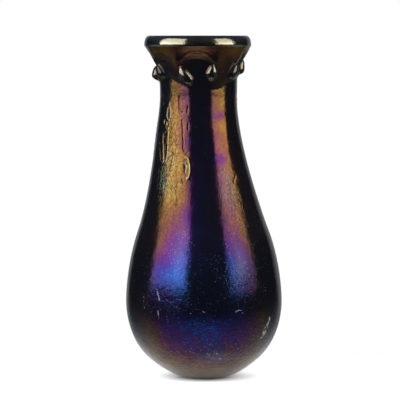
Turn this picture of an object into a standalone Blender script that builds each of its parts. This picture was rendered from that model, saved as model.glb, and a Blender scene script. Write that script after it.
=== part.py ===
"""A blown glass vase: a pear-shaped body on a small ground flat, a narrow neck that leans a little to one side,
a flared mouth with a thick rounded lip, and below it a collar of pulled glass drops fused to the wall.
Metres, +Z up. The origin is on the ground underside, below the middle of the belly."""

import math

import bmesh
import bpy
from mathutils import Vector

# Heights above the surface that the vase stands on
HEIGHT = 0.240
BELLY_HEIGHT = 0.0540

# Depths below the top of the lip
LIP_WIDEST_DEPTH = 0.0047
UNDERLIP_DEPTH = 0.0187
COLLAR_DEPTH = 0.0264
NECK_DEPTH = 0.0420

# Outer radii
RIM_RADIUS = 0.0375
UNDERLIP_RADIUS = 0.0297
COLLAR_RADIUS = 0.0284
NECK_RADIUS = 0.0268
BELLY_RADIUS = 0.0549
BASE_RADIUS = 0.0122

# Glass thicknesses, and the flat in the middle of the floor inside
LIP_THICKNESS = 0.0084
NECK_WALL = 0.0040
BELLY_WALL = 0.0034
BASE_THICKNESS = 0.0100
FLOOR_RADIUS = 0.0070

# The outline between belly and neck: (share of the way up, share of the belly's swell that is left)
HIP_SHARES = (0.304, 0.738)
SHOULDER_SHARES = (0.387, 0.600)
THROAT_SHARES = (0.843, 0.080)
BOWL_ROUNDNESS = 2.02  # exponent of the bowl's oval: 2 is an ellipse, more is fuller

# The lean of the hand-blown body: how far its middle line stands to +X of the belly's middle
BASE_SHIFT = 0.0008
NECK_SHIFT = -0.0040
LIP_SHIFT = -0.0044
SETTLE_HEIGHT = 0.0100
LEAN_SHARES = (0.24, 0.90)  # where the lean starts and ends, on the way from belly to neck

# The drops of the collar
DROP_COUNT = 10
FIRST_DROP_ANGLE = math.radians(-90)  # from the front, -Y, towards +X
DROP_OUT = 0.0028
DROP_HALF_WIDTH = 0.0043
DROP_LENGTH_UP = 0.0064
DROP_LENGTH_DOWN = 0.0045
DROP_FULLNESS = 0.70  # 0.5 is a half ellipsoid, more has softer edges
DROP_TAPER_SHARE = 0.35  # how much of its width a drop loses at its upper tip
# Hand work: how far each drop hangs below the collar's level, from the first drop on
DROP_SAGS = (0.0022, 0.0002, 0.0047, -0.0003, -0.0003, -0.0036, -0.0016, 0.0008, 0.0016, 0.0006)

# The pulled tails that join each drop to the lip and open upwards into arches
TAIL_OUT = 0.0005
ARCH_RISE = 0.0090

# Mesh fineness
COARSE_SEGMENTS = 5 * DROP_COUNT
FINE_SEGMENTS = 10 * DROP_COUNT
BOWL_ROWS = 9
WALL_ROWS = 15
COLLAR_ROWS = 17
FLARE_ROWS = 3
LIP_ROWS = 4
INNER_NECK_ROWS = 6
INNER_WALL_ROWS = 8
INNER_BOWL_ROWS = 7

# Worked out from the sizes above
LIP_HEIGHT = HEIGHT - LIP_WIDEST_DEPTH
UNDERLIP_HEIGHT = HEIGHT - UNDERLIP_DEPTH
COLLAR_HEIGHT = HEIGHT - COLLAR_DEPTH
NECK_HEIGHT = HEIGHT - NECK_DEPTH
RELIEF_BOTTOM = COLLAR_HEIGHT - max(DROP_SAGS) - DROP_LENGTH_DOWN
RELIEF_TOP = COLLAR_HEIGHT - min(DROP_SAGS) + DROP_LENGTH_UP
CREST_RADIUS = RIM_RADIUS - LIP_THICKNESS / 2
MOUTH_RADIUS = RIM_RADIUS - LIP_THICKNESS


def smoothstep(value, start, end):
    """0 before start, 1 after end, smooth between."""
    t = min(max((value - start) / (end - start), 0.0), 1.0)
    return t * t * (3 - 2 * t)


def curve_through(stations, z):
    """The radius at height z on a smooth curve through (height, radius) stations, upright at both ends."""
    last = len(stations) - 1
    slopes = [0.0] * (last + 1)
    for i in range(1, last):
        (z0, r0), (z1, r1), (z2, r2) = stations[i - 1 : i + 2]
        below, above = (r1 - r0) / (z1 - z0), (r2 - r1) / (z2 - z1)
        if below * above > 0:
            slopes[i] = (below * (z2 - z1) + above * (z1 - z0)) / (z2 - z0)
    i = next((k for k in range(last) if z <= stations[k + 1][0]), last - 1)
    (z0, r0), (z1, r1) = stations[i], stations[i + 1]
    span = z1 - z0
    t = (z - z0) / span
    return (
        (1 + 2 * t) * (1 - t) ** 2 * r0
        + t * (1 - t) ** 2 * span * slopes[i]
        + t * t * (3 - 2 * t) * r1
        - t * t * (1 - t) * span * slopes[i + 1]
    )


def wall_stations(belly, neck, collar, underlip, lip):
    """(height, radius) up the side of the vase, for its outer or its inner face."""
    rise = NECK_HEIGHT - BELLY_HEIGHT
    between = [
        (BELLY_HEIGHT + up * rise, neck + left * (belly - neck))
        for up, left in (HIP_SHARES, SHOULDER_SHARES, THROAT_SHARES)
    ]
    return [
        (BELLY_HEIGHT, belly),
        *between,
        (NECK_HEIGHT, neck),
        (COLLAR_HEIGHT, collar),
        (UNDERLIP_HEIGHT, underlip),
        (LIP_HEIGHT, lip),
    ]


OUTER = wall_stations(BELLY_RADIUS, NECK_RADIUS, COLLAR_RADIUS, UNDERLIP_RADIUS, RIM_RADIUS)
INNER = wall_stations(
    BELLY_RADIUS - BELLY_WALL,
    NECK_RADIUS - NECK_WALL,
    COLLAR_RADIUS - NECK_WALL,
    UNDERLIP_RADIUS - NECK_WALL,
    MOUTH_RADIUS,
)


def bowl(radius, depth, end_radius, rows):
    """(radius, height) from just below the belly down an oval bowl, to the ring of end_radius."""
    power = 2 / BOWL_ROUNDNESS
    end = math.acos((end_radius / radius) ** (1 / power))
    turns = [end * row / rows for row in range(1, rows + 1)]
    return [
        (radius * math.cos(a) ** power, BELLY_HEIGHT - depth * math.sin(a) ** power)
        for a in turns
    ]


def outer_bowl():
    """The bowl outside, cut by the ground flat where its oval has narrowed to the base."""
    cut = (1 - (BASE_RADIUS / BELLY_RADIUS) ** BOWL_ROUNDNESS) ** (1 / BOWL_ROUNDNESS)
    return bowl(BELLY_RADIUS, BELLY_HEIGHT / cut, BASE_RADIUS, BOWL_ROWS)


def quarter_round(widest, rows):
    """(radius, height) from the lip's ring of that radius up to just below its crest."""
    turns = [math.pi / 2 * row / rows for row in range(1, rows)]
    return [
        (
            CREST_RADIUS + (widest - CREST_RADIUS) * math.cos(a),
            LIP_HEIGHT + LIP_WIDEST_DEPTH * math.sin(a),
        )
        for a in turns
    ]


def middle_line(z):
    """How far the middle of the vase stands to +X at height z."""
    rise = NECK_HEIGHT - BELLY_HEIGHT
    start, end = (BELLY_HEIGHT + share * rise for share in LEAN_SHARES)
    lean = smoothstep(z, start, end)
    flare = smoothstep(z, NECK_HEIGHT, LIP_HEIGHT)
    settle = 1 - smoothstep(z, 0.0, SETTLE_HEIGHT)
    return NECK_SHIFT * lean + (LIP_SHIFT - NECK_SHIFT) * flare + BASE_SHIFT * settle


def drop_bead(across, along):
    """A drop's own relief: round below, drawn to a tip above."""
    length = DROP_LENGTH_UP if along > 0 else DROP_LENGTH_DOWN
    up = min(max(along / length, 0.0), 1.0)
    half_width = DROP_HALF_WIDTH * (1 - DROP_TAPER_SHARE * up)
    apart = (across / half_width) ** 2 + (along / length) ** 2
    return DROP_OUT * max(1 - apart, 0.0) ** DROP_FULLNESS


def drop_tail(across, along, half_pitch):
    """The thin collar above a drop, which widens upwards until it meets its neighbours in arches."""
    half_width = DROP_HALF_WIDTH + (half_pitch - DROP_HALF_WIDTH) * smoothstep(along, 0.0, ARCH_RISE)
    fade = smoothstep(along, -DROP_LENGTH_DOWN, 0.0)
    return TAIL_OUT * fade * math.exp(-((across / half_width) ** 2))


def drop_relief(angle, z):
    """How far the collar's drops stand out of the wall at an angle round the vase and a height."""
    relief = 0.0
    wall = curve_through(OUTER, z)
    half_pitch = math.pi / DROP_COUNT * wall
    for number, sag in zip(range(DROP_COUNT), DROP_SAGS * DROP_COUNT):
        middle = FIRST_DROP_ANGLE + number * math.tau / DROP_COUNT
        across = math.remainder(angle - middle, math.tau) * wall
        along = z - (COLLAR_HEIGHT - sag)
        bead = drop_bead(across, along)
        relief = max(relief, bead + drop_tail(across, along, half_pitch))
    return relief * (1 - smoothstep(z, UNDERLIP_HEIGHT, LIP_HEIGHT))


def add_ring(mesh, radius, z, segments, relief=False):
    """One level ring of the vase's surface round its middle line."""
    ring = []
    for step in range(segments):
        angle = math.tau * step / segments
        out = radius + (drop_relief(angle, z) if relief else 0.0)
        place = Vector((middle_line(z) + out * math.sin(angle), -out * math.cos(angle), z))
        ring.append(mesh.verts.new(place))
    return ring


def join_rings(mesh, first, second):
    """The band of faces between two rings, of equal counts or one of twice the other's."""
    many, few = (first, second) if len(first) >= len(second) else (second, first)
    ratio, count = len(many) // len(few), len(many)
    for i, corner in enumerate(few):
        following = few[(i + 1) % len(few)]
        run = [many[(ratio * i + k) % count] for k in range(ratio + 1)]
        if ratio == 1:
            mesh.faces.new((corner, following, run[1], run[0]))
        else:
            mesh.faces.new((corner, run[1], run[0]))
            mesh.faces.new((corner, following, run[1]))
            mesh.faces.new((following, run[2], run[1]))


def add_flat(mesh, ring):
    """A level face with a crisp edge that closes the skin at one of its ends."""
    flat = mesh.faces.new(ring)
    for edge in flat.edges:
        edge.smooth = False


def even_heights(start, end, rows):
    """Heights in equal steps after start, up to and with end."""
    return [start + (end - start) * row / rows for row in range(1, rows + 1)]


def outside_rings(mesh):
    """Rings from the ground flat up the bowl, the wall and the collar to the lip's widest ring."""
    rows = outer_bowl()[::-1] + [(BELLY_RADIUS, BELLY_HEIGHT)]
    rows += [
        (curve_through(OUTER, z), z)
        for z in even_heights(BELLY_HEIGHT, RELIEF_BOTTOM, WALL_ROWS)
    ]
    rings = [add_ring(mesh, radius, z, COARSE_SEGMENTS) for radius, z in rows]
    heights = even_heights(RELIEF_BOTTOM, RELIEF_TOP, COLLAR_ROWS)
    heights += even_heights(RELIEF_TOP, LIP_HEIGHT, FLARE_ROWS)
    for z in heights:
        rings.append(add_ring(mesh, curve_through(OUTER, z), z, FINE_SEGMENTS, relief=True))
    return rings


def lip_rings(mesh):
    """Rings over the rounded lip, from outside its crest to the mouth's edge."""
    rows = quarter_round(RIM_RADIUS, LIP_ROWS)
    rows += [(CREST_RADIUS, HEIGHT)]
    rows += quarter_round(MOUTH_RADIUS, LIP_ROWS)[::-1]
    rows += [(MOUTH_RADIUS, LIP_HEIGHT)]
    return [add_ring(mesh, radius, z, COARSE_SEGMENTS) for radius, z in rows]


def inside_rings(mesh):
    """Rings from below the mouth down the neck and the body to the floor inside."""
    heights = even_heights(LIP_HEIGHT, NECK_HEIGHT, INNER_NECK_ROWS)
    heights += even_heights(NECK_HEIGHT, BELLY_HEIGHT, INNER_WALL_ROWS)
    rows = [(curve_through(INNER, z), z) for z in heights]
    depth = BELLY_HEIGHT - BASE_THICKNESS
    rows += bowl(BELLY_RADIUS - BELLY_WALL, depth, FLOOR_RADIUS, INNER_BOWL_ROWS)
    return [add_ring(mesh, radius, z, COARSE_SEGMENTS) for radius, z in rows]


def vase_mesh():
    """The whole vase as one closed skin: up the outside, over the lip and down the inside."""
    mesh = bmesh.new()
    rings = outside_rings(mesh) + lip_rings(mesh) + inside_rings(mesh)
    for first, second in zip(rings, rings[1:]):
        join_rings(mesh, first, second)
    add_flat(mesh, rings[0])
    add_flat(mesh, rings[-1])
    bmesh.ops.recalc_face_normals(mesh, faces=mesh.faces)
    return mesh


def glass_material():
    """Near-black cobalt glass with a thin metallic lustre."""
    material = bpy.data.materials.new("iridescent_glass")
    material.use_nodes = True
    shader = material.node_tree.nodes["Principled BSDF"]
    shader.inputs["Base Color"].default_value = (0.012, 0.012, 0.045, 1.0)
    shader.inputs["Roughness"].default_value = 0.08
    shader.inputs["Metallic"].default_value = 0.0
    shader.inputs["IOR"].default_value = 1.52
    shader.inputs["Thin Film Thickness"].default_value = 420.0
    shader.inputs["Thin Film IOR"].default_value = 2.0
    return material


def main():
    for leftover in list(bpy.data.objects):
        bpy.data.objects.remove(leftover)
    skin = bpy.data.meshes.new("glass_vase")
    mesh = vase_mesh()
    mesh.to_mesh(skin)
    mesh.free()
    skin.shade_smooth()
    skin.materials.append(glass_material())
    vase = bpy.data.objects.new("glass_vase", skin)
    bpy.context.scene.collection.objects.link(vase)


main()
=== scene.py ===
"""The looks of the glass vase: its skin of iridescent glass, a pale table and a soft studio light.
Metres, +Z up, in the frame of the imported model. Angles round the vase run from the front, -Y, to +X."""

import math

import bpy
import numpy as np
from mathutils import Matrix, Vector, noise


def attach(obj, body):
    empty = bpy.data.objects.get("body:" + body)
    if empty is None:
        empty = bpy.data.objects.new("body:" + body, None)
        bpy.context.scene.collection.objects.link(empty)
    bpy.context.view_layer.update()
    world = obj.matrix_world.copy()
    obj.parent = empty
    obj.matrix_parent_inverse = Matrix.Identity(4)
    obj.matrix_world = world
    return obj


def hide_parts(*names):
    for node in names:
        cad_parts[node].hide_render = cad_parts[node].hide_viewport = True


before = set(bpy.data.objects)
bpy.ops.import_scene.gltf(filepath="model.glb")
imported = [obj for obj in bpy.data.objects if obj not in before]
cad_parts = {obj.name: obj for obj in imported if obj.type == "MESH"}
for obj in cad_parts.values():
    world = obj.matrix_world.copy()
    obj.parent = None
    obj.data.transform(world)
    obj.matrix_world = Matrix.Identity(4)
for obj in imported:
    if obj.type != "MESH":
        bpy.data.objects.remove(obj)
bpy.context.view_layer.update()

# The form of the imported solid: heights above the table
HEIGHT = 0.240
BELLY_HEIGHT = 0.0540
LIP_HEIGHT = HEIGHT - 0.0047
LIP_SIDE_HEIGHT = HEIGHT - 0.0070
UNDERLIP_HEIGHT = HEIGHT - 0.0187
COLLAR_HEIGHT = HEIGHT - 0.0264
NECK_HEIGHT = HEIGHT - 0.0420

# Its outer radii, a little inside the solid's so that the skin's ripples stay within it
RIM_RADIUS = 0.0374
UNDERLIP_RADIUS = 0.0297
COLLAR_RADIUS = 0.0284
NECK_RADIUS = 0.0268
BELLY_RADIUS = 0.05478
BASE_RADIUS = 0.0122

# Glass thicknesses, and the flat in the middle of the floor inside
LIP_THICKNESS = 0.0084
NECK_WALL = 0.0040
BELLY_WALL = 0.0034
BASE_THICKNESS = 0.0100
FLOOR_RADIUS = 0.0070

# The outline between belly and neck: (share of the way up, share of the belly's swell that is left)
HIP_SHARES = (0.304, 0.738)
SHOULDER_SHARES = (0.387, 0.600)
THROAT_SHARES = (0.843, 0.080)

# How square the curves of bowl, lip and mouth are, where 2 is an oval, and how many times as long as it is
# deep a bowl's curve is
BOWL_SQUARENESS = 2.02
LIP_SQUARENESS = 2.5
MOUTH_SQUARENESS = 2.0
BOWL_CURVE_LENGTH = 1.35

# The lean of the middle line towards +X
BASE_SHIFT = 0.0008
NECK_SHIFT = -0.0040
LIP_SHIFT = -0.0044
SETTLE_HEIGHT = 0.0100
LEAN_SHARES = (0.24, 0.90)

CREST_RADIUS = RIM_RADIUS - LIP_THICKNESS / 2
MOUTH_RADIUS = RIM_RADIUS - LIP_THICKNESS

# The drops of the collar: degrees round the vase, height of the middle, half width, length up and down,
# and how far the drop leans towards +X for each metre that it runs down
DROPS = (
    (-89, 0.2132, 0.0040, 0.0060, 0.0048, 0.00),
    (-63, 0.2148, 0.0040, 0.0062, 0.0050, 0.30),
    (-18, 0.2112, 0.0052, 0.0075, 0.0056, 0.34),
    (19.5, 0.2140, 0.0043, 0.0060, 0.0052, 0.00),
    (55.5, 0.2146, 0.0040, 0.0064, 0.0050, -0.25),
    (89, 0.2175, 0.0038, 0.0064, 0.0048, 0.00),
    (126, 0.2152, 0.0041, 0.0064, 0.0046, 0.15),
    (162, 0.2128, 0.0043, 0.0064, 0.0048, 0.00),
    (198, 0.2120, 0.0041, 0.0070, 0.0050, -0.25),
    (234, 0.2130, 0.0042, 0.0064, 0.0046, 0.10),
)
DROP_OUT = 0.0031
DROP_FULLNESS = 0.55
DROP_TAPER_SHARE = 0.38

# The festoons above them: thick pendents at these degrees, with arches between. The flare of the mouth
# starts higher in the arches and lower at the pendents, and a thin ridge follows the arches.
PENDENTS = (-78, -28, 25, 47, 74, 118, 165, 235)
PENDENT_HALF_ANGLE = math.radians(12.5)
ARCH_LIFT = 0.0024
PENDENT_FALL = 0.0024
ARCH_TOP = 0.2288
ARCH_HEIGHT = 0.0070
RIDGE_OUT = 0.00022
RIDGE_HALF = 0.00080

# The thicker tails of the pendents, which begin between two heights and end between two others
TAIL_OUT = 0.0006
TAIL_HALF_ANGLE = math.radians(5.0)
TAIL_START = (0.2135, 0.2200)
TAIL_END = (0.2230, 0.2290)

# The collar's lower edge: (degrees, height) points of the line where its thicker glass begins
COLLAR_EDGE = (
    (-180, 0.2080),
    (-90, 0.2075),
    (-64, 0.2092),
    (-47.6, 0.2118),
    (-28.6, 0.2078),
    (-12, 0.2040),
    (0, 0.2030),
    (12, 0.2035),
    (30, 0.2032),
    (45, 0.2070),
    (64, 0.2090),
    (90, 0.2110),
    (180, 0.2080),
)
COLLAR_EDGE_WIDTH = 0.0030
COLLAR_THICKNESS = 0.00045
COLLAR_FADE = (0.2190, 0.2290)
NECK_STEEPNESS = 0.012

# Broad folds of the collar, swellings of the wall and a dimple in the neck: degrees, height, half degrees,
# half height, and how far they stand out. A swelling that goes all round is many turns wide.
ALL_ROUND = 9000
FOLDS = (
    (58, 0.2235, 6.5, 0.0090, 0.0009),
    (86, 0.2274, 16, 0.0040, 0.0009),
    (84, 0.2135, 14, 0.0040, 0.0006),
    (88, 0.2050, 40, 0.0120, 0.0004),
    (-86, 0.2110, 14, 0.0030, 0.0009),
    (-88, 0.2215, 18, 0.0055, -0.0010),
    (0, 0.0190, ALL_ROUND, 0.0130, 0.0006),
    (-62, 0.2245, 9, 0.0060, 0.0005),
    (-90, 0.0920, 60, 0.0170, 0.0006),
    (90, 0.0920, 50, 0.0170, 0.0002),
    (0, 0.1350, ALL_ROUND, 0.0450, 0.0003),
    (-16.6, 0.1492, 2.6, 0.0048, -0.0005),
)

# Soft ripples of blown glass: how deep and wide they are, and the share of their depth that they sink into
# the wall. They are calm at the ground flat, and calmer at this angle, on the vase's left side.
RIPPLE_DEPTH = 0.00016
RIPPLE_SIZE = 0.016
RIPPLE_SINK = 0.7
RIPPLE_STRETCH = 0.6
BOWL_RIPPLE_DEPTH = 0.00007
BOWL_RIPPLE_SIZE = 0.0075
BOWL_RIPPLE_SINK = 0.6
BOWL_RIPPLE_FADE = (0.050, 0.085)
CALM_FOOT_HEIGHT = 0.012
CALM_SIDE = math.pi * 1.5
CALM_SIDE_SHARE = 0.8
CALM_SIDE_FADE = (0.6, 0.2)

# How far each seed moves the noise from the one before
SEED_SHIFT = (7.31, 3.17, 5.73)

# Threads of glass trailed over the neck while hot, as (degrees, height in millimetres) points
THREADS = (
    ((-64.9, 200.2), (-63.7, 191.8)),
    (
        (-47.9, 193.7),
        (-51.2, 189.2),
        (-52.0, 184.4),
        (-47.3, 180.6),
        (-44.3, 183.1),
        (-44.3, 187.9),
        (-47.9, 193.7),
    ),
    ((-56.8, 181.2), (-56.2, 178.4), (-52.6, 176.8), (-49.7, 178.5), (-50.9, 180.9)),
    ((-45.6, 180.0), (-45.4, 179.2)),
    (
        (-65.7, 171.7),
        (-60.3, 160.7),
        (-56.0, 153.2),
        (-52.1, 151.2),
        (-49.8, 153.0),
        (-52.5, 160.9),
        (-56.6, 172.5),
    ),
    ((-45.9, 176.2), (-44.2, 164.5), (-43.8, 156.9), (-45.6, 152.4), (-49.4, 151.3)),
    ((-17.6, 156.3), (-13.8, 155.2), (-11.9, 151.5), (-11.7, 147.0), (-13.6, 142.3), (-16.2, 141.9)),
    ((-17.2, 152.5), (-15.6, 150.0), (-16.6, 146.5)),
    ((28.7, 148.8), (29.0, 148.0)),
    ((96, 196), (101, 184), (99, 172), (104, 160)),
    ((118, 190), (121, 176), (117, 163), (112, 161)),
    ((150, 201), (147, 188), (152, 174)),
    ((171, 186), (176, 172), (173, 158), (181, 150), (186, 158), (183, 172)),
    ((214, 199), (218, 184), (213, 170), (219, 158)),
    ((246, 192), (251, 177), (247, 165), (240, 163), (238, 172)),
    ((262, 180), (266, 168), (263, 155)),
)
THREAD_OUT = 0.00042
THREAD_HALF = 0.00048

# Creases between the folds of the neck, in the same form
CREASES = (
    ((-29.8, 197.7), (-29.5, 192.2), (-28.0, 187.4), (-25.6, 186.3), (-23.5, 187.0)),
    ((-35.9, 161.2), (-36.4, 155.7), (-38.2, 150.9), (-40.4, 146.7)),
    (
        (-23.5, 181.9),
        (-21.6, 175.7),
        (-21.4, 170.3),
        (-20.0, 166.2),
        (-20.8, 162.7),
        (-18.6, 160.3),
        (-15.5, 159.0),
    ),
    ((-21.2, 141.2), (-19.5, 138.9)),
    ((-25.0, 138.9), (-27.6, 137.9), (-27.5, 134.0), (-25.9, 127.2), (-26.2, 123.2)),
    ((-32.5, 136.3), (-34.3, 134.5), (-35.2, 132.1)),
    ((-14.4, 178.9), (-14.0, 175.8)),
    ((-15.6, 190.5), (-15.8, 187.4)),
    ((44.3, 143.2), (39.3, 139.2)),
    ((30.2, 137.3), (33.3, 133.9), (29.6, 132.3)),
    ((134, 182), (137, 168), (133, 157)),
    ((199, 176), (202, 163), (198, 152)),
)
CREASE_IN = 0.00040
CREASE_HALF = 0.00044

# Fineness of the skin. The rings' points crowd to the front, where the fine threads are.
OUTER_SEGMENTS = 324
INNER_SEGMENTS = 108
FRONT_CROWDING = 0.35
BOWL_STEP = 0.0017
BELLY_STEP = 0.0017
NECK_STEP = 0.0008
COLLAR_STEP = 0.0006
INNER_STEP = 0.0040
NECK_BOTTOM = 0.120
COLLAR_BOTTOM = 0.202
LIP_ROWS = 11

# Camera: a long lens level with the lip, looking slightly down
CAMERA_PLACE = (-0.0028, -1.700, 0.240)
CAMERA_DOWN = math.radians(3.874)
SENSOR_WIDTH = 36.0
FOCAL_PIXELS = 2429
PICTURE_WIDTH = 400


def smoothstep(value, start, end):
    """0 before start, 1 after end, smooth between."""
    t = np.clip((value - start) / (end - start), 0.0, 1.0)
    return t * t * (3 - 2 * t)


def curve_through(stations, z):
    """The radius at height z on a smooth curve through (height, radius) stations, upright at both ends."""
    last = len(stations) - 1
    slopes = [0.0] * (last + 1)
    for i in range(1, last):
        (z0, r0), (z1, r1), (z2, r2) = stations[i - 1 : i + 2]
        below, above = (r1 - r0) / (z1 - z0), (r2 - r1) / (z2 - z1)
        if below * above > 0:
            slopes[i] = (below * (z2 - z1) + above * (z1 - z0)) / (z2 - z0)
    i = next((k for k in range(last) if z <= stations[k + 1][0]), last - 1)
    (z0, r0), (z1, r1) = stations[i], stations[i + 1]
    span = z1 - z0
    t = (z - z0) / span
    return (
        (1 + 2 * t) * (1 - t) ** 2 * r0
        + t * (1 - t) ** 2 * span * slopes[i]
        + t * t * (3 - 2 * t) * r1
        - t * t * (1 - t) * span * slopes[i + 1]
    )


def wall_stations(belly, neck, collar, underlip, lip, lip_height):
    """(height, radius) up the side of the vase, for its outer or its inner face."""
    rise = NECK_HEIGHT - BELLY_HEIGHT
    between = [
        (BELLY_HEIGHT + up * rise, neck + left * (belly - neck))
        for up, left in (HIP_SHARES, SHOULDER_SHARES, THROAT_SHARES)
    ]
    return [
        (BELLY_HEIGHT, belly),
        *between,
        (NECK_HEIGHT, neck),
        (COLLAR_HEIGHT, collar),
        (UNDERLIP_HEIGHT, underlip),
        (lip_height, lip),
    ]


OUTER = wall_stations(
    BELLY_RADIUS, NECK_RADIUS, COLLAR_RADIUS, UNDERLIP_RADIUS, RIM_RADIUS, LIP_SIDE_HEIGHT
)
INNER = wall_stations(
    BELLY_RADIUS - BELLY_WALL,
    NECK_RADIUS - NECK_WALL,
    COLLAR_RADIUS - NECK_WALL,
    UNDERLIP_RADIUS - NECK_WALL,
    MOUTH_RADIUS,
    LIP_HEIGHT,
)


def bowl(radius, depth, end_radius, rows):
    """(radius, height) from just below the belly down an oval bowl, to the ring of end_radius."""
    power = 2 / BOWL_SQUARENESS
    end = math.acos((end_radius / radius) ** (1 / power))
    turns = [end * row / rows for row in range(1, rows + 1)]
    return [
        (radius * math.cos(a) ** power, BELLY_HEIGHT - depth * math.sin(a) ** power)
        for a in turns
    ]


def lip_quarter(widest, ring_height, squareness, rows):
    """(radius, height) from the lip's ring of that radius and height up to just below its crest."""
    turns = [math.pi / 2 * row / rows for row in range(1, rows)]
    rise = HEIGHT - ring_height
    power = 2 / squareness
    return [
        (
            CREST_RADIUS + (widest - CREST_RADIUS) * math.cos(a) ** power,
            ring_height + rise * math.sin(a) ** power,
        )
        for a in turns
    ]


def middle_line(z):
    """How far the middle of the vase stands to +X at height z."""
    rise = NECK_HEIGHT - BELLY_HEIGHT
    start, end = (BELLY_HEIGHT + share * rise for share in LEAN_SHARES)
    lean = smoothstep(z, start, end)
    flare = smoothstep(z, NECK_HEIGHT, LIP_HEIGHT)
    settle = 1 - smoothstep(z, 0.0, SETTLE_HEIGHT)
    return NECK_SHIFT * lean + (LIP_SHIFT - NECK_SHIFT) * flare + BASE_SHIFT * settle


def even_heights(start, end, step):
    """Heights in equal steps of about the given size after start, up to and with end."""
    rows = max(round(abs(end - start) / step), 1)
    return [start + (end - start) * row / rows for row in range(1, rows + 1)]


def outer_profile():
    """(radius, height) up the outside from the ground flat to the lip's widest ring."""
    cut = (1 - (BASE_RADIUS / BELLY_RADIUS) ** BOWL_SQUARENESS) ** (1 / BOWL_SQUARENESS)
    rows = round(BELLY_HEIGHT * BOWL_CURVE_LENGTH / BOWL_STEP)
    profile = bowl(BELLY_RADIUS, BELLY_HEIGHT / cut, BASE_RADIUS, rows)[::-1]
    profile.append((BELLY_RADIUS, BELLY_HEIGHT))
    heights = even_heights(BELLY_HEIGHT, NECK_BOTTOM, BELLY_STEP)
    heights += even_heights(NECK_BOTTOM, COLLAR_BOTTOM, NECK_STEP)
    heights += even_heights(COLLAR_BOTTOM, LIP_SIDE_HEIGHT, COLLAR_STEP)
    return profile + [(curve_through(OUTER, z), z) for z in heights]


def lip_profile():
    """(radius, height) over the rounded lip, down to the mouth's edge inside it."""
    return [
        *lip_quarter(RIM_RADIUS, LIP_SIDE_HEIGHT, LIP_SQUARENESS, LIP_ROWS),
        (CREST_RADIUS, HEIGHT),
        *lip_quarter(MOUTH_RADIUS, LIP_HEIGHT, MOUTH_SQUARENESS, LIP_ROWS)[::-1],
        (MOUTH_RADIUS, LIP_HEIGHT),
    ]


def inner_profile():
    """(radius, height) from below the mouth down to the edge of the flat in the floor inside."""
    heights = even_heights(LIP_HEIGHT, BELLY_HEIGHT, INNER_STEP)
    profile = [(curve_through(INNER, z), z) for z in heights]
    depth = BELLY_HEIGHT - BASE_THICKNESS
    rows = round(BELLY_HEIGHT * BOWL_CURVE_LENGTH / INNER_STEP)
    return profile + bowl(BELLY_RADIUS - BELLY_WALL, depth, FLOOR_RADIUS, rows)


WALL_HEIGHTS = np.linspace(BELLY_HEIGHT, LIP_SIDE_HEIGHT, 1200)
WALL_RADII = np.array([curve_through(OUTER, z) for z in WALL_HEIGHTS])


def turned(angle):
    """The angle as -pi to pi from the front."""
    return np.remainder(angle + math.pi, math.tau) - math.pi


def festoon(angle):
    """1 at the pendents of the collar and 0 in the arches between them."""
    share = np.zeros_like(angle)
    for middle in PENDENTS:
        share += np.exp(-((turned(angle - math.radians(middle)) / PENDENT_HALF_ANGLE) ** 2))
    return np.minimum(share, 1.0)


def tail_relief(angle, z):
    """The thicker tails that hang from the pendents."""
    tail = np.zeros_like(angle)
    for middle in PENDENTS:
        away = turned(angle - math.radians(middle)) / TAIL_HALF_ANGLE
        tail = np.maximum(tail, np.exp(-(away**2)))
    hanging = smoothstep(z, *TAIL_START) * (1 - smoothstep(z, *TAIL_END))
    return TAIL_OUT * tail * hanging


def festoon_relief(angle, z, wall):
    """The straight flare of the mouth, which starts along arches, a thin ridge on them, and the tails."""
    share = festoon(angle)
    start = UNDERLIP_HEIGHT + ARCH_LIFT * (1 - share) - PENDENT_FALL * share
    foot = np.interp(np.minimum(start, UNDERLIP_HEIGHT), WALL_HEIGHTS, WALL_RADII)
    up = np.clip((z - start) / (LIP_SIDE_HEIGHT - start), 0.0, 1.0)
    straight = np.where(up > 0, foot + (RIM_RADIUS - foot) * up, np.minimum(wall, foot))
    flare = np.where((z > COLLAR_HEIGHT) & (z < LIP_SIDE_HEIGHT), straight - wall, 0.0)
    ridge = RIDGE_OUT * np.exp(-(((z - ARCH_TOP + ARCH_HEIGHT * share) / RIDGE_HALF) ** 2))
    return flare + ridge + tail_relief(angle, z)


def drop_shapes(angle, z, wall):
    """The height of each point's nearest drop, as a share of a whole drop."""
    shape = np.zeros_like(angle)
    for degrees, height, half_width, up, down, lean in DROPS:
        along = z - height
        across = turned(angle - math.radians(degrees)) * wall + lean * along
        length = np.where(along > 0, up, down)
        width = half_width * (1 - DROP_TAPER_SHARE * np.clip(along / length, 0, 1))
        apart = (across / width) ** 2 + (along / length) ** 2
        shape = np.maximum(shape, np.maximum(1 - apart, 0.0) ** DROP_FULLNESS)
    return shape


def collar_relief(angle, z, wall):
    """Keeps the wall nearly upright up to the wandering edge where the collar's thicker glass begins."""
    degrees, heights = zip(*COLLAR_EDGE)
    edge = np.interp(np.degrees(turned(angle)), degrees, heights)
    begun = np.clip((z - edge) / COLLAR_EDGE_WIDTH, 0.0, 1.0)
    upright = NECK_RADIUS + NECK_STEEPNESS * (z - NECK_HEIGHT)
    below = np.where(z > NECK_HEIGHT, np.minimum(upright - wall, 0.0), 0.0)
    above = COLLAR_THICKNESS * (1 - smoothstep(z, *COLLAR_FADE))
    return below * (1 - begun) + above * begun


def distance_to(spots, angle, z, wall):
    """The distance over the wall to a line through (degrees, millimetres of height) spots."""
    nearest = np.full(angle.shape, 1.0)
    for (first, low), (second, high) in zip(spots, spots[1:]):
        across = turned(angle - math.radians(first)) * wall
        run = math.radians(second - first) * wall
        rise = (high - low) / 1000
        up = z - low / 1000
        share = np.clip((across * run + up * rise) / (run**2 + rise**2), 0.0, 1.0)
        nearest = np.minimum(nearest, np.hypot(across - share * run, up - share * rise))
    return nearest


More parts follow.
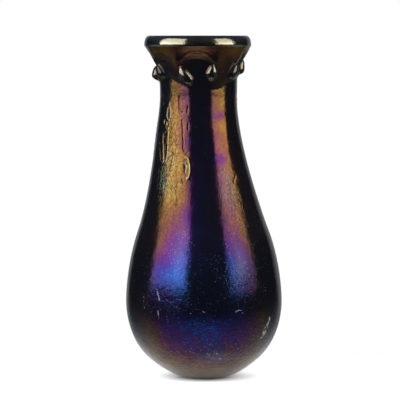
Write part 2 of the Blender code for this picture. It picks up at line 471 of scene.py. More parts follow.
def line_shape(lines, half_width, angle, z, wall):
    """1 on the lines and fading to 0 beside them."""
    shape = np.zeros_like(angle)
    for spots in lines:
        shape = np.maximum(shape, np.exp(-((distance_to(spots, angle, z, wall) / half_width) ** 2)))
    return shape


def noise_field(points, size, seed):
    """Smooth noise, about -1 to 1, of the given grain size at each point of the surface."""
    shift = Vector([seed * part for part in SEED_SHIFT])
    values = [noise.noise(Vector(p) / size + shift) for p in points.reshape(-1, 3)]
    return np.array(values).reshape(points.shape[:-1])


def ring_points(profile, segments, relief=None):
    """The points of a profile's rings round the middle line: an array of rings, segments and x, y, z."""
    radius = np.array([r for r, _ in profile])[:, None]
    z = np.array([h for _, h in profile])[:, None]
    turn = math.tau * np.arange(segments) / segments
    angle = (turn - FRONT_CROWDING * np.sin(turn))[None, :]
    angle, z_all = np.broadcast_arrays(angle, z)
    out = radius + np.zeros_like(angle)
    if relief is not None:
        out = out + relief(angle, z_all, radius)
    middle = middle_line(z_all)
    return np.stack([middle + out * np.sin(angle), -out * np.cos(angle), z_all], axis=-1)


def patches(table, angle, z):
    """The sum of soft round patches (degrees, height, half degrees, half height, amount) at each point."""
    total = np.zeros_like(angle)
    for degrees, height, half_degrees, half_height, amount in table:
        across = turned(angle - math.radians(degrees)) / math.radians(half_degrees)
        total += amount * np.exp(-(across**2) - ((z - height) / half_height) ** 2)
    return total


def ripples(angle, z, wall):
    """The soft ripples of blown glass: broad ones all over, and smaller ones on the bowl."""
    level = np.stack([wall * np.sin(angle), -wall * np.cos(angle), z * RIPPLE_STRETCH], axis=-1)
    broad = RIPPLE_DEPTH * (noise_field(level, RIPPLE_SIZE, 1) - RIPPLE_SINK)
    small = BOWL_RIPPLE_DEPTH * (noise_field(level, BOWL_RIPPLE_SIZE, 3) - BOWL_RIPPLE_SINK)
    beside = smoothstep(np.abs(angle - CALM_SIDE), *CALM_SIDE_FADE)
    calm = smoothstep(z, 0.0, CALM_FOOT_HEIGHT) * (1 - CALM_SIDE_SHARE * beside)
    return (broad + small * (1 - smoothstep(z, *BOWL_RIPPLE_FADE))) * calm


def outer_relief(angle, z, wall):
    """How far the skin stands off the plain wall: collar, drops, threads, creases, folds and ripples."""
    drops = DROP_OUT * drop_shapes(angle, z, wall)
    threads = THREAD_OUT * line_shape(THREADS, THREAD_HALF, angle, z, wall)
    creases = CREASE_IN * line_shape(CREASES, CREASE_HALF, angle, z, wall)
    collar = festoon_relief(angle, z, wall) + collar_relief(angle, z, wall) + drops
    return collar + threads - creases + patches(FOLDS, angle, z) + ripples(angle, z, wall)


def band_faces(first, first_count, second, second_count):
    """Faces between two rings, given by their first vertex and count; the counts are equal or 3 to 1."""
    faces = []
    ratio = first_count // second_count
    for i in range(second_count):
        here, following = second + i, second + (i + 1) % second_count
        run = [first + (ratio * i + k) % first_count for k in range(ratio + 1)]
        if ratio == 1:
            faces.append((run[0], run[1], following, here))
        else:
            faces.append((run[0], run[1], here))
            faces.append((run[1], run[2], following, here))
            faces.append((run[2], run[3], following))
    return faces


def vase_skin():
    """One closed skin: up the outside, over the lip, down the inside."""
    outside = ring_points(outer_profile() + lip_profile(), OUTER_SEGMENTS, outer_relief)
    inside = ring_points(inner_profile(), INNER_SEGMENTS)
    rows = [(row, OUTER_SEGMENTS) for row in outside] + [(row, INNER_SEGMENTS) for row in inside]
    vertices = np.concatenate([row for row, _ in rows])
    starts = np.cumsum([0] + [count for _, count in rows])
    faces = []
    for i in range(len(rows) - 1):
        faces += band_faces(starts[i], rows[i][1], starts[i + 1], rows[i + 1][1])
    faces.append(tuple(range(OUTER_SEGMENTS))[::-1])
    faces.append(tuple(range(starts[-2], starts[-1])))
    mesh = bpy.data.meshes.new("vase_glass")
    mesh.from_pydata(vertices.tolist(), [], [tuple(int(v) for v in face) for face in faces])
    mesh.shade_smooth()
    mesh.validate()
    for ring_face in (mesh.polygons[-1], mesh.polygons[-2]):
        ring_face.use_smooth = False
    return mesh, outside


class Graph:
    """Short calls that add nodes to a material's or a world's node tree and link them."""

    def __init__(self, tree):
        self.tree = tree

    def node(self, kind, **settings):
        made = self.tree.nodes.new(kind)
        for name, value in settings.items():
            setattr(made, name, value)
        return made

    def feed(self, socket, value):
        """Links a socket to another's output, or sets its plain value."""
        if isinstance(value, bpy.types.NodeSocket):
            self.tree.links.new(value, socket)
        elif value is not None:
            socket.default_value = value

    def math(self, operation, a, b=None, c=None):
        made = self.node("ShaderNodeMath", operation=operation)
        for socket, value in zip(made.inputs, (a, b, c)):
            self.feed(socket, value)
        return made.outputs[0]

    def share(self, value):
        """The value, held between 0 and 1."""
        return self.math("MINIMUM", self.math("MAXIMUM", value, 0.0), 1.0)

    def vector(self, operation, a, b=None, scale=None):
        made = self.node("ShaderNodeVectorMath", operation=operation)
        self.feed(made.inputs[0], a)
        self.feed(made.inputs[1], b)
        if scale is not None:
            self.feed(made.inputs["Scale"], scale)
        is_number = operation in ("DOT_PRODUCT", "LENGTH", "DISTANCE")
        return made.outputs["Value" if is_number else "Vector"]

    def step(self, value, start, end, low=0.0, high=1.0):
        """low before start and high after end, smooth between."""
        made = self.node("ShaderNodeMapRange", interpolation_type="SMOOTHSTEP", clamp=False)
        given = {"Value": value, "From Min": start, "From Max": end, "To Min": low, "To Max": high}
        for name, setting in given.items():
            self.feed(made.inputs[name], setting)
        return made.outputs["Result"]

    def mix(self, share, a, b):
        made = self.node("ShaderNodeMix", data_type="RGBA")
        self.feed(made.inputs["Factor"], share)
        self.feed(made.inputs[6], a)
        self.feed(made.inputs[7], b)
        return made.outputs[2]

    def noise(self, place, size, detail=2.0, roughness=0.5, distortion=0.0):
        """Noise of about 0 to 1 with the given grain size in metres."""
        made = self.node("ShaderNodeTexNoise")
        self.feed(made.inputs["Vector"], place)
        made.inputs["Scale"].default_value = 1.0 / size
        made.inputs["Detail"].default_value = detail
        made.inputs["Roughness"].default_value = roughness
        made.inputs["Distortion"].default_value = distortion
        return made.outputs["Fac"]


# The iridescent film. Its optical thickness, in nanometres, decides its colour seen straight on: about 290
# is cream, 410 gold, 450 orange, 500 magenta, 550 violet, 600 blue and 800 green. At a slant it looks
# thinner. These are (height, thickness) points up the left and the right of the vase.
FILM_LEFT = (
    (0.000, 560),
    (0.012, 600),
    (0.030, 600),
    (0.060, 612),
    (0.068, 627),
    (0.0765, 622),
    (0.0865, 585),
    (0.0965, 550),
    (0.107, 541),
    (0.117, 521),
    (0.127, 478),
    (0.141, 462),
    (0.154, 440),
    (0.168, 490),
    (0.182, 480),
    (0.1955, 500),
    (0.212, 500),
    (0.2318, 505),
    (0.2328, 335),
    (0.240, 320),
)
FILM_RIGHT = (
    (0.000, 560),
    (0.012, 600),
    (0.030, 600),
    (0.060, 610),
    (0.0765, 615),
    (0.0865, 595),
    (0.0965, 560),
    (0.107, 531),
    (0.117, 520),
    (0.141, 515),
    (0.151, 528),
    (0.158, 533),
    (0.165, 523),
    (0.171, 521),
    (0.178, 498),
    (0.185, 527),
    (0.192, 499),
    (0.203, 500),
    (0.212, 500),
    (0.2318, 505),
    (0.2328, 352),
    (0.240, 340),
)

# Where the left's values give way to the right's, as the sine of the angle from the front
RIGHT_BLEND = (-0.10, 0.25)

# The film's random unevenness: size, stretch upwards, seed, and nanometres either way
FILM_NOISE = (
    (0.008, 0.6, 5, 16.0),
    (0.026, 0.6, 9, 14.0),
    (0.0035, 0.15, 12, 9.0),
)

# The bowl's film is mottled as well, which fades out between these heights
MOTTLE_SIZE = 0.0042
MOTTLE_NANOMETRES = 42.0
MOTTLE_FADE = (0.040, 0.075)

# Patches of thicker or thinner film: degrees, height, their half sizes, and nanometres more
FILM_PATCHES = (
    (-50, 0.2290, 24, 0.006, 56),
    (48, 0.2290, 24, 0.006, 54),
    (-23, 0.1955, 7, 0.008, 14),
    (-17, 0.1650, 5, 0.008, 26),
    (27, 0.1545, 9, 0.0035, 34),
    (36, 0.1850, 6, 0.003, 24),
    (31, 0.1680, 9, 0.005, 14),
    (-18, 0.0965, 7, 0.010, 8),
    (-32, 0.0965, 8, 0.008, -3),
    (-17, 0.1180, 6, 0.008, 20),
    (0, 0.1500, 12, 0.045, 90),
    (52, 0.0820, 14, 0.024, -65),
    (-50, 0.0300, 16, 0.012, -22),
    (-20, 0.0800, 8, 0.010, 8),
    (0, 0.0300, 40, 0.006, -12),
    (9, 0.0280, 9, 0.010, 30),
    (0, 0.0060, 180, 0.014, -24),
    (-40, 0.0140, 30, 0.010, -12),
    (-7, 0.1400, 6, 0.024, 25),
    (62, 0.1500, 12, 0.070, 80),
    (-62, 0.1200, 10, 0.060, 80),
    (-48, 0.0400, 12, 0.012, -55),
    (55, 0.0480, 12, 0.012, -110),
)

# Where flecks of thick green film lie: degrees, height, half sizes and how many. Then the flecks' own form.
FLECK_ZONES = (
    (-55, 0.195, 8, 0.022, 0.9),
    (-56, 0.165, 9, 0.020, 0.8),
    (-52, 0.140, 9, 0.012, 0.9),
)
FLECK_SIZE = 0.0018
FLECK_STRETCH = 0.4
FLECK_EDGE = (0.55, 0.65)
FLECK_BLOOM = 0.15

# The film's thickness on the flecks, on the drops and threads, and inside the vase
FLECK_THICKNESS = 1000.0
BEAD_THICKNESS = 335.0
INSIDE_THICKNESS = 480.0

# How uneven the bloom is, and the strength of the bowl's film, which is even above the last of these heights
BLOOM_UNEVENNESS = 0.35
BLOOM_CLOUD_SIZE = 0.010
BOWL_UNEVENNESS = 0.45
BOWL_CLOUD_SIZE = 0.0055
BOWL_UNEVEN_FADE = (0.045, 0.080)

# The weakest film and the least age on the outside, and the film's strength and bloom inside the vase
LEAST_STRENGTH = 0.05
LEAST_AGE = 0.10
INSIDE_STRENGTH = 0.4
INSIDE_BLOOM = 0.3

# Patches where a bloom dulls the film, strongest 1: degrees, height, half sizes, strength
BLOOM_PATCHES = (
    (30, 0.1350, 9, 0.013, 0.55),
    (29, 0.0830, 5, 0.014, 0.40),
    (0, 0.0040, 180, 0.010, 0.38),
    (0, 0.2290, 70, 0.005, 0.15),
    (-20, 0.0900, 8, 0.014, 0.20),
    (-30, 0.1700, 16, 0.050, 0.14),
    (-16, 0.0980, 8, 0.016, 0.35),
    (-50, 0.0600, 9, 0.020, 0.35),
    (-24, 0.0520, 12, 0.006, 0.30),
    (52, 0.0400, 16, 0.012, 0.40),
    (12, 0.0190, 16, 0.004, 0.60),
    (-52, 0.1420, 8, 0.009, 0.35),
)

# Patches of weaker film: degrees, height, half sizes, and the share of its strength that is lost
WEAK_PATCHES = (
    (40, 0.0720, 32, 0.022, 0.62),
    (52, 0.0900, 11, 0.026, 0.50),
    (-28, 0.0680, 14, 0.009, 0.20),
    (-48, 0.0800, 9, 0.026, 0.50),
    (-30, 0.1700, 14, 0.036, -0.42),
    (-24, 0.0930, 14, 0.016, -0.45),
    (-12, 0.1040, 6, 0.024, -0.60),
    (31, 0.1650, 14, 0.026, -0.38),
    (24, 0.2000, 12, 0.008, 0.25),
    (0, 0.1950, 10, 0.036, 0.70),
    (-7, 0.1360, 4.5, 0.026, -1.2),
    (8, 0.1250, 9, 0.040, 0.60),
    (4, 0.0225, 18, 0.006, 0.50),
    (0, 0.0160, 180, 0.012, 0.14),
    (0, 0.0460, 34, 0.007, -1.4),
    (-72, 0.1200, 14, 0.060, 0.45),
    (72, 0.1200, 14, 0.060, 0.45),
    (-72, 0.0350, 20, 0.024, 0.55),
    (72, 0.0350, 20, 0.024, 0.60),
    (-46, 0.2295, 26, 0.004, -6.5),
    (44, 0.2295, 26, 0.004, -6.0),
    (-29, 0.2225, 7, 0.005, -2.4),
    (34, 0.2215, 9, 0.005, -0.8),
    (-55, 0.2160, 24, 0.008, 0.80),
    (62, 0.2150, 20, 0.009, 0.65),
    (36, 0.2370, 20, 0.003, 0.30),
    (52, 0.0270, 26, 0.012, 0.45),
    (-60, 0.0310, 18, 0.012, 0.32),
)

# Patches of finely crackled film: degrees, height, half sizes, and how much it is crackled
CRACKLE_PATCHES = (
    (-37, 0.1600, 20, 0.038, 0.75),
    (-26, 0.1050, 14, 0.030, 0.20),
    (32, 0.1000, 12, 0.030, 0.20),
    (-50, 0.1400, 12, 0.010, 0.3),
    (34, 0.1300, 12, 0.018, 0.6),
    (30, 0.0720, 12, 0.008, 0.6),
    (-30, 0.0600, 24, 0.006, 0.3),
    (0, 0.0200, 180, 0.026, 1.0),
    (180, 0.1500, 60, 0.030, 0.6),
)

# The film's refractive index, the wavelengths of red, green and blue light in nanometres, the most light
# that it reflects, and the least, with its tint. A full bloom adds grey and takes a share of the colour.
FILM_INDEX = 1.45
RED, GREEN, BLUE = 620.0, 540.0, 450.0
FILM_GAIN = 0.12
FILM_FLOOR = 0.008
FILM_FLOOR_TINT = (1.0, 1.0, 1.25)
BLOOM_GREY = 0.035
BLOOM_LOSS = 0.35


def fleck_shape(points, angle, z):
    """1 on the green flecks of thick film, on the shaded left of the neck."""
    shaded = patches(FLECK_ZONES, angle, z)
    random = noise_field(points * (1.0, 1.0, FLECK_STRETCH), FLECK_SIZE, 21)
    fleck = smoothstep(random + shaded, *FLECK_EDGE)
    radius = np.hypot(points[..., 0] - middle_line(z), points[..., 1])
    beside = line_shape(THREADS, 3 * THREAD_HALF, angle, z, radius)
    return fleck * smoothstep(shaded, 0.2, 0.5) * (1 - smoothstep(beside, 0.1, 0.5))


def film_thickness(points, angle, z):
    """The film's optical thickness in nanometres over the outside."""
    left = np.interp(z, *zip(*FILM_LEFT))
    right = np.interp(z, *zip(*FILM_RIGHT))
    film = left + (right - left) * smoothstep(np.sin(angle), *RIGHT_BLEND)
    for size, stretch, seed, nanometres in FILM_NOISE:
        film = film + noise_field(points * (1.0, 1.0, stretch), size, seed) * nanometres
    mottle = noise_field(points, MOTTLE_SIZE, 41) * MOTTLE_NANOMETRES
    film = film + mottle * (1 - smoothstep(z, *MOTTLE_FADE))
    film = film + patches(FILM_PATCHES, angle, z)
    film = film + (FLECK_THICKNESS - film) * fleck_shape(points, angle, z)

    # Thin film on what was trailed on last: the drops and the threads
    radius = np.hypot(points[..., 0] - middle_line(z), points[..., 1])
    bead = smoothstep(drop_shapes(angle, z, radius), 0.02, 0.25)
    thread = smoothstep(line_shape(THREADS, THREAD_HALF, angle, z, radius), 0.25, 0.8)
    return film + (BEAD_THICKNESS - film) * np.maximum(bead, thread)


def store(mesh, name, outside_values, inside_value):
    """Keeps a value at each vertex of the outside under a name, and one value for the inside."""
    values = np.full(len(mesh.vertices), inside_value, dtype=np.float32)
    flat = outside_values.reshape(-1)
    values[: len(flat)] = flat
    mesh.attributes.new(name, "FLOAT", "POINT").data.foreach_set("value", values)


def paint_film(mesh, points):
    """Stores on the skin the film's thickness, strength, bloom and crackle, and how aged it is."""
    z = points[..., 2]
    angle = np.arctan2(points[..., 0] - middle_line(z), -points[..., 1])
    cloud = 1.0 + BLOOM_UNEVENNESS * noise_field(points, BLOOM_CLOUD_SIZE, 31)
    store(mesh, "film", film_thickness(points, angle, z), INSIDE_THICKNESS)
    uneven = BOWL_UNEVENNESS * noise_field(points, BOWL_CLOUD_SIZE, 51)
    uneven = uneven * (1 - smoothstep(z, *BOWL_UNEVEN_FADE))
    strength = (1.0 - patches(WEAK_PATCHES, angle, z)) * (1.0 + uneven)
    store(mesh, "strength", np.maximum(strength, LEAST_STRENGTH), INSIDE_STRENGTH)
    bloom = patches(BLOOM_PATCHES, angle, z) * cloud + FLECK_BLOOM * fleck_shape(points, angle, z)
    store(mesh, "bloom", np.clip(bloom, 0.0, 1.0), INSIDE_BLOOM)
    store(mesh, "crackle", np.clip(patches(CRACKLE_PATCHES, angle, z), 0.0, 1.0), 0.0)
    age = patches(AGE_PATCHES, angle, z) + LEAST_AGE
    store(mesh, "age", np.clip(age, 0.0, 1.0), 0.0)


# Fine marks of age in the film: pale specks in two sizes, and the patches where they show most, as degrees,
# height, half sizes and strength
SPECK_CELL = 0.0034
SPECK_RADIUS = 0.00046
DUST_CELL = 0.0015
DUST_RADIUS = 0.00036
SPECK_SHARE = 0.55
DUST_SHARE = 0.85
AGE_PATCHES = (
    (12, 0.0800, 26, 0.024, 0.9),
    (56, 0.0800, 16, 0.030, 0.6),
    (-58, 0.0780, 14, 0.024, 0.7),
    (0, 0.1700, 18, 0.050, 0.4),
    (-25, 0.0950, 14, 0.030, 0.3),
    (0, 0.0300, 60, 0.012, 0.4),
    (0, 0.0480, 50, 0.012, 0.7),
    (10, 0.0200, 26, 0.008, 1.0),
    (-30, 0.0560, 16, 0.012, 0.7),
    (35, 0.1250, 12, 0.022, 0.5),
    (-52, 0.1400, 16, 0.030, 0.5),
    (62, 0.1600, 14, 0.060, 0.5),
    (180, 0.0800, 60, 0.040, 0.6),
)

# How far and how finely the marks' outlines waver, and the size of the cells between cracks
WOBBLE = 0.0014
WOBBLE_SIZE = 0.0030
CRACK_CELL = 0.0030

# Scratches and chips, as (degrees, height in millimetres) of both ends and the half width in metres
MARKS = (
    ((-37.0, 66.0), (-35.3, 62.0), 0.00040),
    ((-35.3, 62.0), (-33.6, 58.6), 0.00055),
    ((-35.6, 51.7), (-35.1, 46.1), 0.00035),
    ((-50.3, 60.3), (-48.8, 52.4), 0.00030),
    ((-59.9, 93.2), (-59.5, 92.6), 0.00045),
    ((-10.6, 51.4), (-9.6, 51.3), 0.00038),
    ((-0.8, 52.1), (0.6, 52.0), 0.00034),
    ((23.4, 51.4), (25.8, 52.9), 0.00034),
    ((25.8, 52.9), (29.4, 52.0), 0.00034),
    ((29.4, 52.0), (29.2, 50.2), 0.00034),
    ((57.5, 45.0), (56.5, 41.5), 0.00090),
    ((56.5, 41.0), (55.0, 38.0), 0.00170),
    ((55.0, 38.0), (53.2, 35.0), 0.00220),
    ((53.0, 34.5), (52.2, 32.0), 0.00110),
    ((50.9, 66.5), (51.5, 65.0), 0.00050),
    ((3.0, 22.6), (4.6, 22.2), 0.00060),
    ((7.4, 19.6), (8.2, 19.2), 0.00060),
    ((11.0, 22.6), (11.6, 22.2), 0.00050),
    ((14.0, 18.6), (16.5, 18.4), 0.00050),
)

# Long faint scuffs, in the same form
SCUFFS = (
    ((83.0, 64.5), (73.0, 57.5), 0.0012),
    ((73.0, 57.5), (64.5, 47.5), 0.0010),
    ((64.5, 47.5), (60.0, 37.0), 0.0009),
    ((-70.0, 60.0), (-66.0, 40.0), 0.0010),
    ((140.0, 80.0), (150.0, 56.0), 0.0010),
    ((-160.0, 62.0), (-152.0, 40.0), 0.0010),
)

# How strongly scuffs and specks show beside the scratches, and what a whole mark adds to the film: its pale
# colour and the share of it, its roughness and its height
SCUFF_STRENGTH = 0.22
FAINT_STRENGTH = 0.28
PALE_COLOUR = (0.76, 0.78, 0.80, 1.0)
PALE_SHARE = 0.62
AGE_ROUGHNESS = 1.20
AGE_HEIGHT = 0.25

# The grain of the film: its nanometres on plain film, how many more where the film is crackled, and how
# uneven the crackled film's strength is
PLAIN_GRAIN = 90.0
CRACKLED_GRAIN = 220.0
CRACKLED_UNEVENNESS = 3.2

# The surface: roughness of clean film at its smoothest and roughest, what bloom adds, and its fine relief
CLEAN_ROUGHNESS = (0.07, 0.19)
BLOOM_ROUGHNESS = 0.22
BUMP_STRENGTH = 0.42
BUMP_DISTANCE = 0.0005

# A faint bloom of blue over the glass, which keeps its darkest parts from black
SHEEN_WEIGHT = 0.0085
SHEEN_TINT = (0.56, 0.62, 1.00, 1.0)


def fine_speck(g, place, cell, radius, share):
    """Round specks about 0 to 1: one in the middle of some cells of a random pattern."""
    cells = g.node("ShaderNodeTexVoronoi", feature="F1")
    g.feed(cells.inputs["Vector"], place)
    cells.inputs["Scale"].default_value = 1.0 / cell
    near = g.step(cells.outputs["Distance"], radius / cell, 0.4 * radius / cell)
    chance = g.node("ShaderNodeSeparateColor")
    g.feed(chance.inputs[0], cells.outputs["Color"])
    return g.math("MULTIPLY", near, g.math("LESS_THAN", chance.outputs[0], share))


def wall_point(degrees, millimetres):
    """The place on the outside at an angle from the front and a height."""
    z = millimetres / 1000
    angle = math.radians(degrees)
    outline = outer_profile()
    radius = float(np.interp(z, [h for _, h in outline], [r for r, _ in outline]))
    return Vector((float(middle_line(z)) + radius * math.sin(angle), -radius * math.cos(angle), z))


def mark(g, place, first, last, half_width):
    """1 within half_width of the straight mark between two places on the wall, ragged at its edge."""
    start, end = wall_point(*first), wall_point(*last)
    line = end - start
    from_start = g.vector("SUBTRACT", place, tuple(start))
    reach = g.vector("DOT_PRODUCT", from_start, tuple(line))
    along = g.share(g.math("DIVIDE", reach, line.length_squared))
    away = g.vector("DISTANCE", from_start, g.vector("SCALE", tuple(line), scale=along))
    return g.step(away, 1.3 * half_width, 0.5 * half_width)


def all_marks(g, place, table):
    """The strongest of a table's marks at each place."""
    found = None
    for first, last, half_width in table:
        one = mark(g, place, first, last, half_width)
        found = one if found is None else g.math("MAXIMUM", found, one)
    return found


def cracks(g, place):
    """1 on a net of fine cracks and 0 between."""
    cells = g.node("ShaderNodeTexVoronoi", feature="DISTANCE_TO_EDGE")
    g.feed(cells.inputs["Vector"], g.vector("MULTIPLY", place, (1.0, 1.0, 0.6)))
    cells.inputs["Scale"].default_value = 1.0 / CRACK_CELL
    return g.step(cells.outputs["Distance"], 0.10, 0.02)


def thin_film_colour(g, film, strength, bloom):
    """The share of red, green and blue light that the film reflects, as its two faces' waves add up."""
    facing = g.node("ShaderNodeLayerWeight").outputs["Facing"]
    cosine = g.math("SUBTRACT", 1.0, facing)
    sine_squared = g.math("SUBTRACT", 1.0, g.math("MULTIPLY", cosine, cosine))
    inside = g.math("SQRT", g.math("SUBTRACT", 1.0, g.math("DIVIDE", sine_squared, FILM_INDEX**2)))
    path = g.math("MULTIPLY", film, inside)
    turns = g.node("ShaderNodeCombineXYZ")
    for socket, wave in zip(turns.inputs, (RED, GREEN, BLUE)):
        g.feed(socket, g.math("MULTIPLY", path, math.pi / wave))
    wave = g.vector("SINE", turns.outputs[0])
    colour = g.vector("MULTIPLY", wave, wave)
    gain = g.math("MULTIPLY_ADD", bloom, -BLOOM_LOSS * FILM_GAIN, FILM_GAIN)
    colour = g.vector("SCALE", colour, scale=g.math("MULTIPLY", strength, gain))
    grey = g.math("MULTIPLY_ADD", bloom, BLOOM_GREY, FILM_FLOOR)
    tint = g.node("ShaderNodeCombineXYZ")
    for socket, share in zip(tint.inputs, FILM_FLOOR_TINT):
        g.feed(socket, g.math("MULTIPLY", grey, share))
    return g.vector("ADD", colour, tint.outputs[0])


def stored(g, name):
    """A value that paint_film keeps on the skin."""
    return g.node("ShaderNodeAttribute", attribute_name=name).outputs["Fac"]


def wavering(g, place):
    """The place, moved a little at random so that the marks waver."""
    wobble = g.node("ShaderNodeTexNoise")
    wobble.inputs["Scale"].default_value = 1.0 / WOBBLE_SIZE
    g.feed(wobble.inputs["Vector"], place)
    away = g.vector("SUBTRACT", wobble.outputs["Color"], (0.5, 0.5, 0.5))
    return g.vector("ADD", place, g.vector("SCALE", away, scale=WOBBLE))


def age_marks(g, place, wavy):
    """From 0 to 1: faint specks and scuffs, and stronger scratches and chips."""
    patchy = g.step(g.noise(place, 0.009, detail=2.0), 0.32, 0.56)
    specks = g.math("MULTIPLY", fine_speck(g, wavy, SPECK_CELL, SPECK_RADIUS, SPECK_SHARE), patchy)
    dust = g.math("MULTIPLY", fine_speck(g, wavy, DUST_CELL, DUST_RADIUS, DUST_SHARE), patchy)
    specks = g.math("MULTIPLY", g.math("MAXIMUM", specks, dust), stored(g, "age"))
    grit = g.step(g.noise(place, 0.0024, detail=3.0), 0.47, 0.56)
    marks = g.math("MULTIPLY", all_marks(g, wavy, MARKS), grit)
    scuffs = g.math("MULTIPLY", all_marks(g, wavy, SCUFFS), SCUFF_STRENGTH)
    faint = g.math("MULTIPLY", g.math("MAXIMUM", specks, scuffs), FAINT_STRENGTH)
    return g.math("MAXIMUM", faint, marks)


def film_colour(g, place, bloom, crackled):
    """The film's colour, with its cloudy and finely crackled grain."""
    fine = g.noise(place, 0.0018, detail=4.0, roughness=0.70)
    depth = g.math("MULTIPLY_ADD", crackled, CRACKLED_GRAIN, PLAIN_GRAIN)
    film = g.math("MULTIPLY_ADD", g.math("SUBTRACT", fine, 0.5), depth, stored(g, "film"))
    cloud = g.noise(place, 0.0042, detail=3.0, roughness=0.6, distortion=0.6)
    strength = g.math("MULTIPLY", stored(g, "strength"), g.step(cloud, 0.25, 0.75, 0.84, 1.16))
    grain = g.math("SUBTRACT", g.noise(place, 0.0012, detail=3.0, roughness=0.7), 0.5)
    grain = g.math("MULTIPLY_ADD", grain, g.math("MULTIPLY", crackled, CRACKLED_UNEVENNESS), 1.0)
    strength = g.math("MULTIPLY", strength, g.math("MAXIMUM", grain, 0.1))
    return thin_film_colour(g, film, strength, bloom)


def film_roughness(g, place, bloom, age):
    """The roughness of the film, uneven, and rougher in the bloom and on the marks of age."""
    uneven = g.noise(place, 0.0030, detail=4.0, roughness=0.7)
    rough = g.step(uneven, 0.35, 0.75, *CLEAN_ROUGHNESS)
    rough = g.math("MULTIPLY_ADD", bloom, BLOOM_ROUGHNESS, rough)
    return g.math("MULTIPLY_ADD", age, AGE_ROUGHNESS, rough)


def film_bump(g, place, wavy, crackled, age):
    """The normals of the film's finest relief: soft swells, crackle, cracks and marks."""
    crackle = g.noise(place, 0.0014, detail=3.0, roughness=0.6, distortion=0.8)
    swell = g.noise(place, 0.0080, detail=2.0)
    depth = g.math("MULTIPLY_ADD", crackled, 1.00, 0.20)
    height = g.math("MULTIPLY_ADD", crackle, depth, swell)
    height = g.math("MULTIPLY_ADD", cracks(g, wavy), g.math("MULTIPLY", crackled, -0.60), height)
    height = g.math("MULTIPLY_ADD", age, AGE_HEIGHT, height)
    bump = g.node("ShaderNodeBump")
    bump.inputs["Strength"].default_value = BUMP_STRENGTH
    bump.inputs["Distance"].default_value = BUMP_DISTANCE
    g.feed(bump.inputs["Height"], height)
    return bump.outputs["Normal"]


def glass_material():
    """Dark glass under an iridescent, aged film."""
    material = bpy.data.materials.new("iridescent_glass")
    material.use_nodes = True
    g = Graph(material.node_tree)
    shader = material.node_tree.nodes["Principled BSDF"]
    place = g.node("ShaderNodeTexCoord").outputs["Object"]
    bloom = stored(g, "bloom")
    crackled = stored(g, "crackle")
    wavy = wavering(g, place)
    age = age_marks(g, place, wavy)
    colour = film_colour(g, place, bloom, crackled)
    aged_colour = g.mix(g.math("MULTIPLY", age, PALE_SHARE), colour, PALE_COLOUR)
    g.feed(shader.inputs["Base Color"], aged_colour)
    g.feed(shader.inputs["Roughness"], film_roughness(g, place, bloom, age))
    g.feed(shader.inputs["Normal"], film_bump(g, place, wavy, crackled, age))
    shader.inputs["Metallic"].default_value = 1.0
    shader.inputs["Sheen Weight"].default_value = SHEEN_WEIGHT
    shader.inputs["Sheen Roughness"].default_value = 1.0
    shader.inputs["Sheen Tint"].default_value = SHEEN_TINT
    return material


# The table top is opaque up to the first distance from the vase and has faded away at the second
FLOOR_RADIUS_CLEAR = 0.030
FLOOR_RADIUS_END = 0.360
FLOOR_FADE_POWER = 5.2
FLOOR_COLOUR = (0.92, 0.92, 0.92, 1.0)
FLOOR_ROUGHNESS = 0.75


def floor_material():
    """A white table top that fades away with its distance from the vase."""
    material = bpy.data.materials.new("pale_table")
    material.use_nodes = True
    g = Graph(material.node_tree)
    shader = material.node_tree.nodes["Principled BSDF"]
    shader.inputs["Base Color"].default_value = FLOOR_COLOUR
    shader.inputs["Roughness"].default_value = FLOOR_ROUGHNESS
    place = g.node("ShaderNodeTexCoord").outputs["Object"]
    away = g.vector("LENGTH", place)
    fade_width = FLOOR_RADIUS_END - FLOOR_RADIUS_CLEAR
    left = g.math("DIVIDE", g.math("SUBTRACT", FLOOR_RADIUS_END, away), fade_width)
    g.feed(shader.inputs["Alpha"], g.math("POWER", g.share(left), FLOOR_FADE_POWER))
    return material


def make_floor():
    bpy.ops.mesh.primitive_circle_add(vertices=96, radius=FLOOR_RADIUS_END, fill_type="NGON")
    floor = bpy.context.active_object
    floor.name = "pale_table"
    floor.data.materials.append(floor_material())


# The upright softboxes: their distance from the vase's axis, their heights, and their angles from the front
PANEL_DISTANCE = 1.0
PANEL_TOP = 1.25
PANEL_BOTTOM = 0.145
LEFT_PANEL = (math.radians(-86), math.radians(-28))
RIGHT_PANEL = (math.radians(40), math.radians(83))
PANEL_RADIANCE = 4.5


def area_light(name, place, towards, width, height, radiance):
    """A rectangular soft light of even brightness that the camera doesn't see."""
    data = bpy.data.lights.new(name, "AREA")
    data.shape = "RECTANGLE"
    data.size = width
    data.size_y = height
    data.energy = radiance * math.pi * width * height
    light = bpy.data.objects.new(name, data)
    light.location = place
    aim = Vector(towards) - Vector(place)
    light.rotation_euler = aim.to_track_quat("-Z", "Y").to_euler()
    light.visible_camera = False
    bpy.context.scene.collection.objects.link(light)
    return light


def side_panel(name, start, end, radiance):
    """An upright softbox beside the vase that spans the angles from start to end, seen from its axis."""
    middle = (start + end) / 2
    width = 2 * PANEL_DISTANCE * math.tan((end - start) / 2)
    height = PANEL_TOP - PANEL_BOTTOM
    z = (PANEL_TOP + PANEL_BOTTOM) / 2
    place = (PANEL_DISTANCE * math.sin(middle), -PANEL_DISTANCE * math.cos(middle), z)
    return area_light(name, place, (0, 0, z), width, height, radiance)


OVERHEAD_PLACE = (-0.35, -0.80, 1.0)
OVERHEAD_SIZE = 1.6
OVERHEAD_RADIANCE = 1.6


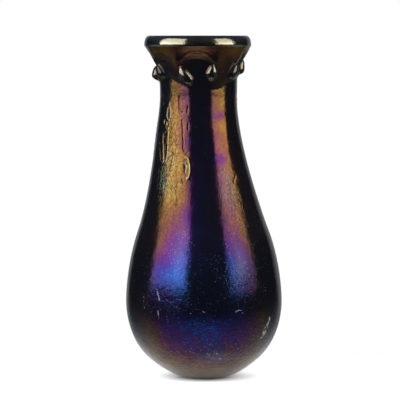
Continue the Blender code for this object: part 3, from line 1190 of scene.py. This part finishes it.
def make_lights():
    """Two tall softboxes, whose reflections stripe the glass, and a wide one above the table."""
    side_panel("left_softbox", *LEFT_PANEL, PANEL_RADIANCE)
    side_panel("right_softbox", *RIGHT_PANEL, PANEL_RADIANCE)
    size = OVERHEAD_SIZE
    overhead = area_light("overhead_softbox", OVERHEAD_PLACE, (0, 0, 0), size, size, OVERHEAD_RADIANCE)
    overhead.visible_glossy = False


# What the glass reflects: a pale backdrop behind it, a dark room with a paler top, and pale low sides. The
# table is lit by plain white light from all round.
BACKDROP_TURN = math.radians(4)
BACKDROP_HALF_ANGLE = math.radians(36)
BACKDROP_RADIANCE = 0.33
BACKDROP_TINT = (0.90, 0.95, 1.00, 1.0)
ROOM_RADIANCE_LEVEL = 0.018
ROOM_RADIANCE_ABOVE = 0.14
ROOM_TINT = (0.85, 0.95, 1.10, 1.0)
AMBIENT_RADIANCE = 1.85
LOW_SIDE_RADIANCE = 0.15


def make_world():
    """White for the camera and for the table's light, and the studio that the glass reflects."""
    world = bpy.data.worlds.new("studio")
    bpy.context.scene.world = world
    world.use_nodes = True
    g = Graph(world.node_tree)
    background = world.node_tree.nodes["Background"]
    towards = g.node("ShaderNodeTexCoord").outputs["Generated"]
    split = g.node("ShaderNodeSeparateXYZ")
    g.feed(split.inputs[0], towards)
    edge = math.cos(BACKDROP_HALF_ANGLE)
    middle = (math.sin(BACKDROP_TURN), math.cos(BACKDROP_TURN), 0.0)
    behind = g.step(g.vector("DOT_PRODUCT", towards, middle), edge - 0.06, edge + 0.08)
    room = g.step(split.outputs["Z"], 0.05, 0.60, ROOM_RADIANCE_LEVEL, ROOM_RADIANCE_ABOVE)
    tint = g.mix(behind, ROOM_TINT, BACKDROP_TINT)
    sideways = g.step(g.math("ABSOLUTE", split.outputs["X"]), 0.45, 0.90)
    low = g.step(split.outputs["Z"], -0.06, -0.32, 0.0, LOW_SIDE_RADIANCE)
    room = g.math("MULTIPLY_ADD", sideways, low, room)
    strength = g.step(behind, 0.0, 1.0, room, BACKDROP_RADIANCE)
    path = g.node("ShaderNodeLightPath")
    seen = path.outputs["Is Camera Ray"]
    scattered = path.outputs["Is Diffuse Ray"]
    ambient = g.math("MULTIPLY", scattered, AMBIENT_RADIANCE)
    white = g.math("MAXIMUM", seen, scattered)
    g.feed(background.inputs["Color"], g.mix(white, tint, (1.0, 1.0, 1.0, 1.0)))
    g.feed(background.inputs["Strength"], g.math("MAXIMUM", g.math("MAXIMUM", strength, ambient), seen))


def make_camera():
    data = bpy.data.cameras.new("camera")
    data.sensor_width = SENSOR_WIDTH
    data.lens = FOCAL_PIXELS * SENSOR_WIDTH / PICTURE_WIDTH
    data.clip_end = 20.0
    camera = bpy.data.objects.new("camera", data)
    camera.location = CAMERA_PLACE
    camera.rotation_euler = (math.pi / 2 - CAMERA_DOWN, 0.0, 0.0)
    bpy.context.scene.collection.objects.link(camera)
    bpy.context.scene.camera = camera


def make_vase():
    mesh, outside = vase_skin()
    paint_film(mesh, outside)
    mesh.materials.append(glass_material())
    vase = bpy.data.objects.new("vase_glass", mesh)
    bpy.context.scene.collection.objects.link(vase)
    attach(vase, "root")
    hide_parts("glass_vase")


make_vase()
make_floor()
make_lights()
make_world()
make_camera()
bpy.context.scene.view_settings.view_transform = "Standard"
